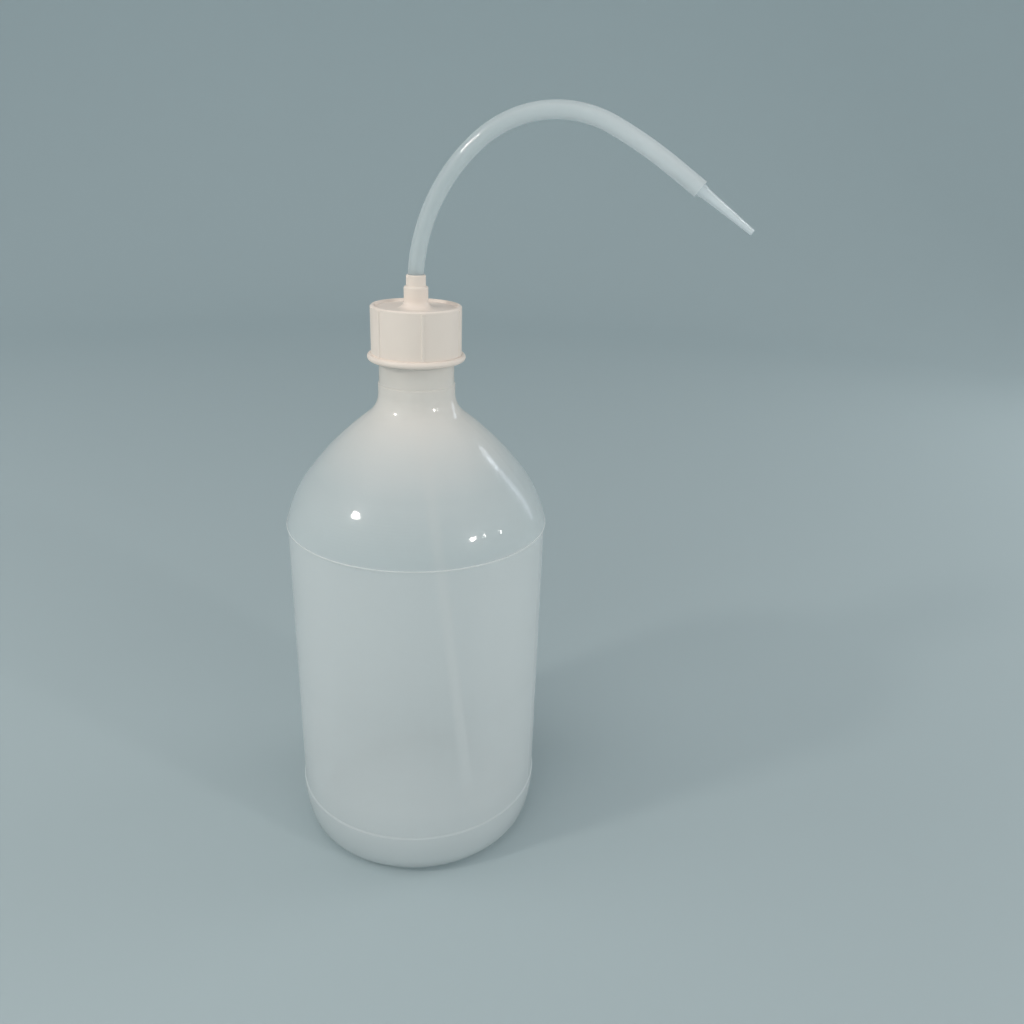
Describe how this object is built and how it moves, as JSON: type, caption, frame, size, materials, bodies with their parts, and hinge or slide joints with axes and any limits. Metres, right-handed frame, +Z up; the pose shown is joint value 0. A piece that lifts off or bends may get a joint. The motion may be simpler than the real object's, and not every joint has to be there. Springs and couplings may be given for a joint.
{
  "type": "wash bottle",
  "caption": "Translucent squeeze wash bottle with a ribbed screw cap, a bent delivery tube ending in a drawn jet, and a slanting dip tube.",
  "frame": {"origin": "on the bottle's axis, in the plane of the foot ring that it stands on", "axes": "+Z up along the bottle's axis; +X from the bottle's axis towards the jet, in the plane of the delivery tube's arch; +Y completes the right-handed frame"},
  "size_m": [0.1549, 0.095, 0.2711],
  "materials": {
    "bottle_plastic": "milky translucent, satin",
    "washer_plastic": "satin",
    "cap_plastic": "natural white, satin",
    "tube_plastic": "translucent, satin",
    "jet_plastic": "clear, glossy"
  },
  "bodies": {
    "bottle": {"bottle": "bottle_plastic"},
    "washer": {"sealing_washer": "washer_plastic"},
    "cap": {"screw_cap": "cap_plastic", "dip_tube": "tube_plastic"},
    "spout_tube": {"delivery_tube": "tube_plastic", "jet_tip": "jet_plastic"}
  },
  "joints": [
    {"name": "closure_lift", "type": "slide", "parent": "bottle", "child": "washer", "axis": [0, 0, 1], "range_m": [0, 0.0064]},
    {"name": "cap_turn", "type": "hinge", "parent": "washer", "child": "cap", "pos_m": [0, 0, 0.2], "axis": [0, 0, 1], "range_deg": [0, 540]},
    {"name": "tube_swivel", "type": "hinge", "parent": "cap", "child": "spout_tube", "pos_m": [0, 0, 0.212], "axis": [0, 0, 1], "continuous": true}
  ],
  "couplings": [
    {"joint": "closure_lift", "follows": "cap_turn", "m_per_rad": 0.00066845}
  ]
}
